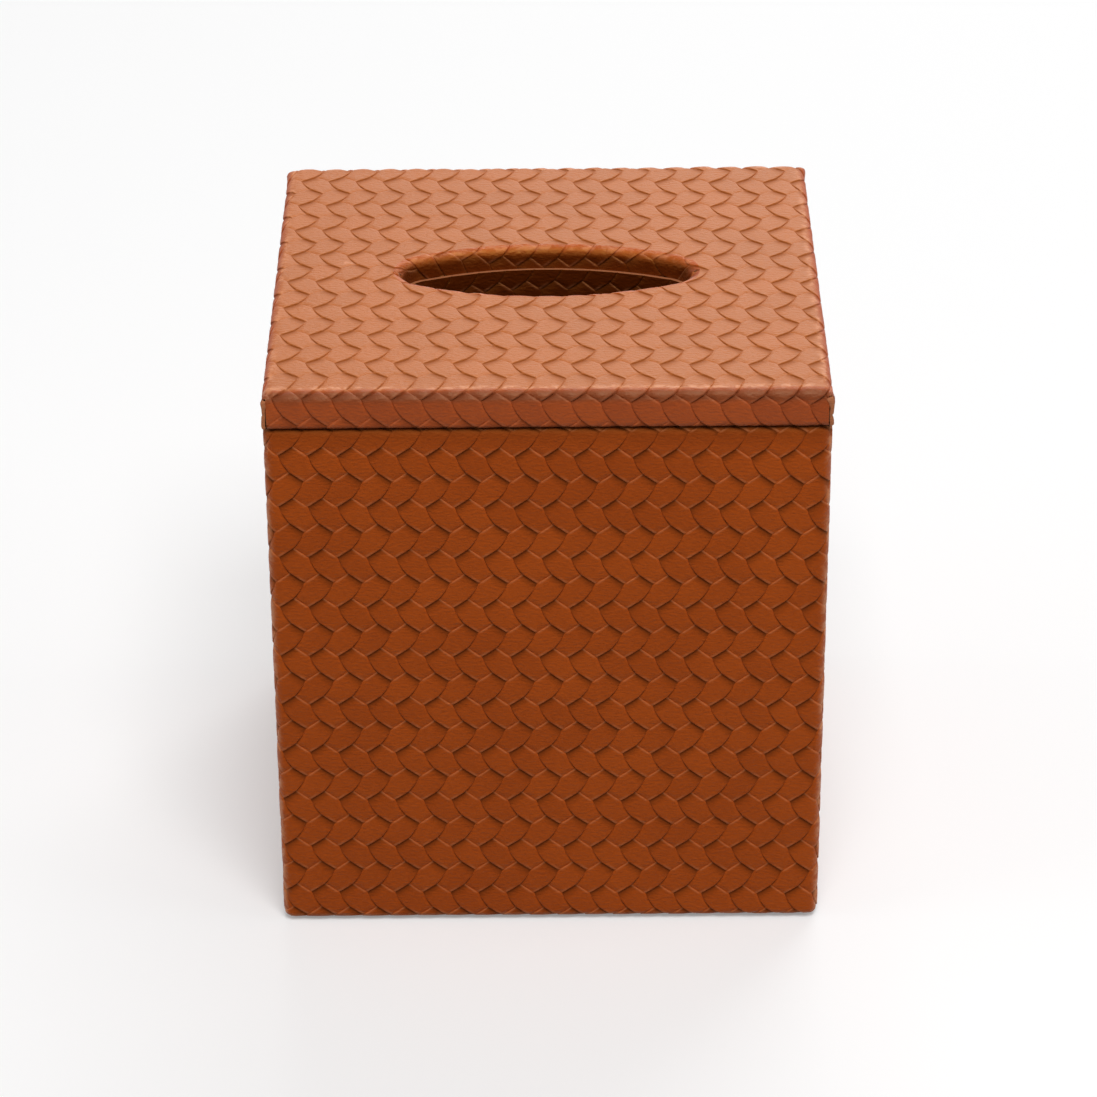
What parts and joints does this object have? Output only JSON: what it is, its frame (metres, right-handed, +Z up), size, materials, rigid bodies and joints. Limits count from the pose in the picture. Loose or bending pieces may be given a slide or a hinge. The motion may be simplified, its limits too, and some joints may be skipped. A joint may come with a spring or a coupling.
{
  "type": "tissue box cover",
  "caption": "Leather-wrapped board cover for a cube box of tissues: an open-topped box with suede-covered linings and a lift-off lid with an oval opening.",
  "frame": {"origin": "middle of the footprint, on the surface that the cover stands on", "axes": "+Z up, +X to the right seen from the front, and the front faces -Y"},
  "size_m": [0.14, 0.132, 0.156],
  "materials": {
    "leather": "tan, embossed with a basket weave, semi-gloss",
    "board": "raw fibreboard",
    "card": "grey card",
    "suede": "dark brown suede cloth"
  },
  "bodies": {
    "box": {"base_pad": "suede", "base_infill": "card", "base_board": "board", "front_wall": "board", "back_wall": "board", "left_wall": "board", "right_wall": "board", "body_leather": "leather", "floor_lining": "suede", "front_lining": "suede", "back_lining": "suede", "left_lining": "suede", "right_lining": "suede"},
    "lid": {"lid_board": "board", "lid_leather": "leather", "lid_infill": "card", "plug_board": "board", "plug_edge_strip": "suede", "plug_lining": "suede", "opening_band": "leather"}
  },
  "joints": [
    {"name": "lid_lift", "type": "slide", "parent": "box", "child": "lid", "axis": [0, 0, 1], "range_m": [0, 0.15]}
  ]
}
